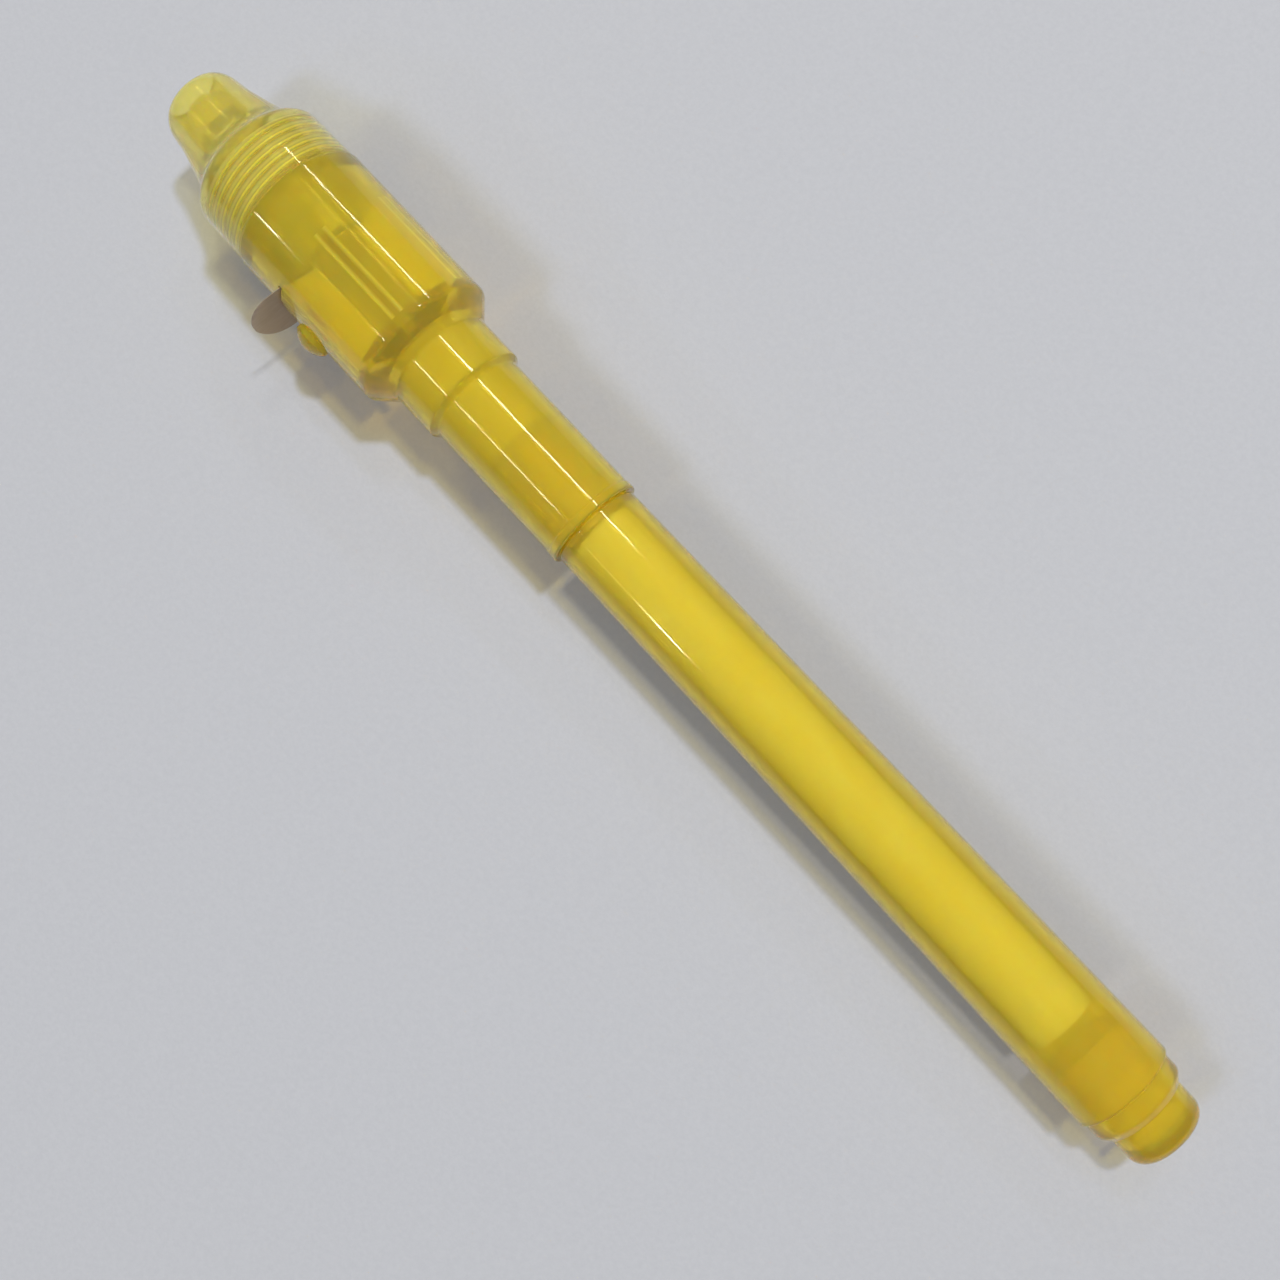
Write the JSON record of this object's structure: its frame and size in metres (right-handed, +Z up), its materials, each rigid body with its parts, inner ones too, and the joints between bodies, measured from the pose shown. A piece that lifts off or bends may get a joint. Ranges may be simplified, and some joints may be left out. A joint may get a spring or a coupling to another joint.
{
  "type": "detector pen",
  "caption": "Round translucent marker pen whose pull-off cap carries a push-button lamp, button cells and an isolating pull tab.",
  "frame": {"origin": "centre of the flat tail face, on the pen's axis", "axes": "+X along the pen from the tail to the lamp's mouth; the push button and pull tab point to +Y; +Z up with the pen lying down"},
  "size_m": [0.1329, 0.0186, 0.015],
  "materials": {
    "yellow_plastic": "clear-tinted yellow moulded plastic, polished",
    "nose_plastic": "pale yellow clear moulded plastic, polished",
    "nib_fibre": "bonded fibre",
    "ink_fibre": "soft bonded fibre, wet with clear ink",
    "clear_film": "clear film",
    "seal_plastic": "soft translucent plastic",
    "sleeve_plastic": "thin clear insulating tube",
    "cell_steel": "nickel-plated steel, brushed",
    "gasket_nylon": "dark sealing ring",
    "contact_brass": "bare spring brass",
    "smoke_film": "smoke-brown translucent film",
    "seat_plastic": "natural moulded plastic",
    "lens_resin": "water-clear cast resin",
    "lead_steel": "tinned steel",
    "led_die": "semiconductor die"
  },
  "bodies": {
    "pen": {"barrel": "yellow_plastic", "nib": "nib_fibre", "ink_reservoir": "ink_fibre", "reservoir_film": "clear_film", "end_plug": "yellow_plastic"},
    "cap": {"cap_body": "yellow_plastic", "inner_seal": "seal_plastic", "cell_sleeve": "sleeve_plastic", "cell_can_1": "cell_steel", "cell_gasket_1": "gasket_nylon", "cell_cap_1": "cell_steel", "cell_can_2": "cell_steel", "cell_gasket_2": "gasket_nylon", "cell_cap_2": "cell_steel", "cell_can_3": "cell_steel", "cell_gasket_3": "gasket_nylon", "cell_cap_3": "cell_steel", "rear_contact": "contact_brass", "bridge_contact": "contact_brass"},
    "blade": {"switch_blade": "contact_brass"},
    "button": {"push_button": "yellow_plastic"},
    "tab": {"pull_tab": "smoke_film"},
    "lamp": {"led_seat": "seat_plastic", "led_lens": "lens_resin", "led_short_lead": "lead_steel", "led_long_lead": "lead_steel", "led_chip": "led_die"},
    "nose": {"lamp_nose": "nose_plastic"}
  },
  "joints": [
    {"name": "cap_pull", "type": "slide", "parent": "pen", "child": "cap", "axis": [1, 0, 0], "range_m": [0, 0.025]},
    {"name": "button_press", "type": "slide", "parent": "cap", "child": "button", "axis": [0, -1, 0], "range_m": [0, 0.0005], "stiffness_N_per_m": 3000, "springref_m": -0.0002},
    {"name": "blade_flex", "type": "hinge", "parent": "cap", "child": "blade", "pos_m": [0.12065, 0.0048, 0], "axis": [0, 0, 1], "range_deg": [0, 2.1]},
    {"name": "tab_pull", "type": "slide", "parent": "cap", "child": "tab", "axis": [0, 1, 0], "range_m": [0, 0.006]},
    {"name": "nose_turn", "type": "hinge", "parent": "lamp", "child": "nose", "pos_m": [0.123, 0, 0], "axis": [1, 0, 0], "range_deg": [0, 1980.5]},
    {"name": "nose_travel", "type": "slide", "parent": "cap", "child": "lamp", "axis": [1, 0, 0], "range_m": [0, 0.0055]}
  ],
  "couplings": [
    {"joint": "blade_flex", "follows": "button_press", "rad_per_m": 72},
    {"joint": "nose_turn", "follows": "nose_travel", "rad_per_m": 6283.2}
  ]
}
